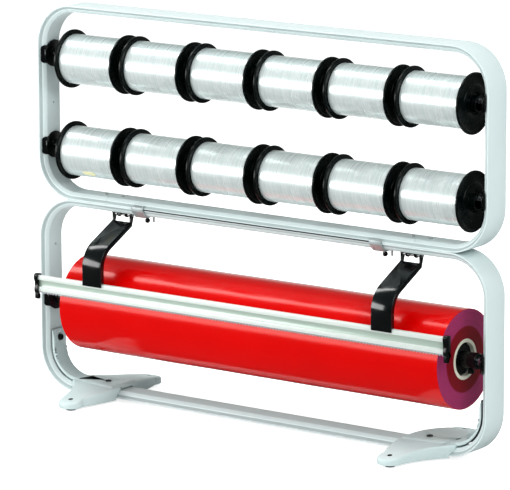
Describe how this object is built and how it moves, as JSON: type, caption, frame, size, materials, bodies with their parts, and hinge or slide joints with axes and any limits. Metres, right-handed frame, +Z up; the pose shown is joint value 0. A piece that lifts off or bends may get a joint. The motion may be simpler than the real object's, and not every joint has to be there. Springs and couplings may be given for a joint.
{
  "type": "ribbon spool dispenser",
  "caption": "Counter-top dispenser: two stacked bent-profile frames hold rods of ribbon spools over a paper roll with a hinged cutter bar.",
  "frame": {"origin": "on the counter, under the middle of the dispenser", "axes": "+X along the rods to the user's right, -Y towards the user at the front, +Z up"},
  "size_m": [0.89, 0.251, 0.658],
  "materials": {
    "frame_paint": "pale grey powder coat, semi-gloss",
    "casting_paint": "pale grey paint over cast zinc, satin",
    "zinc_screws": "zinc plated",
    "rubber": "matt moulded",
    "black_metal": "gloss black stove enamel",
    "black_plastic": "moulded, glossy",
    "spool_plastic": "moulded, glossy",
    "rod_steel": "bright drawn",
    "blade_steel": "ground",
    "bar_aluminium": "anodised, satin",
    "ribbon": "wound film ribbon, pearly sheen",
    "red_paper": "coated gift wrap, glossy",
    "core_card": "raw spiral-wound board"
  },
  "bodies": {
    "frame": {"upper_frame_hoop": "frame_paint", "upper_frame_bar": "frame_paint", "lower_frame_hoop": "frame_paint", "lower_frame_bar": "frame_paint", "frame_joiners": "bar_aluminium", "frame_screws": "zinc_screws", "foot_left": "casting_paint", "foot_right": "casting_paint", "foot_pads": "rubber", "foot_bolts": "black_metal", "clamp_brackets": "casting_paint", "upper_rod_holder_left": "black_plastic", "upper_rod_holder_right": "black_plastic", "middle_rod_holder_left": "black_plastic", "middle_rod_holder_right": "black_plastic", "paper_rod_holder_left": "black_plastic", "paper_rod_holder_right": "black_plastic", "upper_ribbon_rod": "rod_steel", "lower_ribbon_rod": "rod_steel", "arm_brackets": "black_metal", "hinge_pins": "rod_steel"},
    "upper_reel_1": {"upper_spool_1": "spool_plastic", "upper_ribbon_1": "ribbon"},
    "upper_reel_2": {"upper_spool_2": "spool_plastic", "upper_ribbon_2": "ribbon"},
    "upper_reel_3": {"upper_spool_3": "spool_plastic", "upper_ribbon_3": "ribbon"},
    "upper_reel_4": {"upper_spool_4": "spool_plastic", "upper_ribbon_4": "ribbon"},
    "upper_reel_5": {"upper_spool_5": "spool_plastic", "upper_ribbon_5": "ribbon"},
    "upper_reel_6": {"upper_spool_6": "spool_plastic", "upper_ribbon_6": "ribbon"},
    "lower_reel_1": {"lower_spool_1": "spool_plastic", "lower_ribbon_1": "ribbon"},
    "lower_reel_2": {"lower_spool_2": "spool_plastic", "lower_ribbon_2": "ribbon"},
    "lower_reel_3": {"lower_spool_3": "spool_plastic", "lower_ribbon_3": "ribbon"},
    "lower_reel_4": {"lower_spool_4": "spool_plastic", "lower_ribbon_4": "ribbon"},
    "lower_reel_5": {"lower_spool_5": "spool_plastic", "lower_ribbon_5": "ribbon"},
    "lower_reel_6": {"lower_spool_6": "spool_plastic", "lower_ribbon_6": "ribbon"},
    "paper_reel": {"paper_roll": "red_paper", "paper_core": "core_card", "paper_hub_left": "black_plastic", "paper_hub_right": "black_plastic", "paper_rod": "rod_steel"},
    "cutter": {"cutter_arm_left": "black_metal", "cutter_arm_right": "black_metal", "cutter_bar": "bar_aluminium", "tear_blade": "blade_steel", "bar_end_caps": "black_plastic", "arm_screws": "zinc_screws"},
    "clamp_knob_left": {"clamp_knob_left": "black_plastic"},
    "clamp_knob_right": {"clamp_knob_right": "black_plastic"},
    "hub_screw_left": {"hub_screw_left": "black_metal"},
    "hub_screw_right": {"hub_screw_right": "black_metal"}
  },
  "joints": [
    {"name": "upper_spool_1_spin", "type": "hinge", "parent": "frame", "child": "upper_reel_1", "pos_m": [-0.33285, 0, 0.566], "axis": [1, 0, 0], "continuous": true},
    {"name": "upper_spool_2_spin", "type": "hinge", "parent": "frame", "child": "upper_reel_2", "pos_m": [-0.19735, 0, 0.566], "axis": [1, 0, 0], "continuous": true},
    {"name": "upper_spool_3_spin", "type": "hinge", "parent": "frame", "child": "upper_reel_3", "pos_m": [-0.06185, 0, 0.566], "axis": [1, 0, 0], "continuous": true},
    {"name": "upper_spool_4_spin", "type": "hinge", "parent": "frame", "child": "upper_reel_4", "pos_m": [0.07365, 0, 0.566], "axis": [1, 0, 0], "continuous": true},
    {"name": "upper_spool_5_spin", "type": "hinge", "parent": "frame", "child": "upper_reel_5", "pos_m": [0.20915, 0, 0.566], "axis": [1, 0, 0], "continuous": true},
    {"name": "upper_spool_6_spin", "type": "hinge", "parent": "frame", "child": "upper_reel_6", "pos_m": [0.34465, 0, 0.566], "axis": [1, 0, 0], "continuous": true},
    {"name": "lower_spool_1_spin", "type": "hinge", "parent": "frame", "child": "lower_reel_1", "pos_m": [-0.33285, 0, 0.4125], "axis": [1, 0, 0], "continuous": true},
    {"name": "lower_spool_2_spin", "type": "hinge", "parent": "frame", "child": "lower_reel_2", "pos_m": [-0.19735, 0, 0.4125], "axis": [1, 0, 0], "continuous": true},
    {"name": "lower_spool_3_spin", "type": "hinge", "parent": "frame", "child": "lower_reel_3", "pos_m": [-0.06185, 0, 0.4125], "axis": [1, 0, 0], "continuous": true},
    {"name": "lower_spool_4_spin", "type": "hinge", "parent": "frame", "child": "lower_reel_4", "pos_m": [0.07365, 0, 0.4125], "axis": [1, 0, 0], "continuous": true},
    {"name": "lower_spool_5_spin", "type": "hinge", "parent": "frame", "child": "lower_reel_5", "pos_m": [0.20915, 0, 0.4125], "axis": [1, 0, 0], "continuous": true},
    {"name": "lower_spool_6_spin", "type": "hinge", "parent": "frame", "child": "lower_reel_6", "pos_m": [0.34465, 0, 0.4125], "axis": [1, 0, 0], "continuous": true},
    {"name": "paper_roll_spin", "type": "hinge", "parent": "frame", "child": "paper_reel", "pos_m": [0.014, 0, 0.1606], "axis": [1, 0, 0], "continuous": true},
    {"name": "cutter_swing", "type": "hinge", "parent": "frame", "child": "cutter", "pos_m": [0, 0, 0.3155], "axis": [-1, 0, 0], "range_deg": [0, 68]},
    {"name": "clamp_knob_left_turn", "type": "hinge", "parent": "frame", "child": "clamp_knob_left", "pos_m": [-0.237, 0, 0.3105], "axis": [0, 0, 1], "continuous": true},
    {"name": "clamp_knob_right_turn", "type": "hinge", "parent": "frame", "child": "clamp_knob_right", "pos_m": [0.237, 0, 0.3105], "axis": [0, 0, 1], "continuous": true},
    {"name": "hub_screw_left_turn", "type": "hinge", "parent": "paper_reel", "child": "hub_screw_left", "pos_m": [-0.372, 0, 0.1606], "axis": [0, 0, 1], "continuous": true},
    {"name": "hub_screw_right_turn", "type": "hinge", "parent": "paper_reel", "child": "hub_screw_right", "pos_m": [0.4, 0, 0.1606], "axis": [0, 0, 1], "continuous": true}
  ]
}
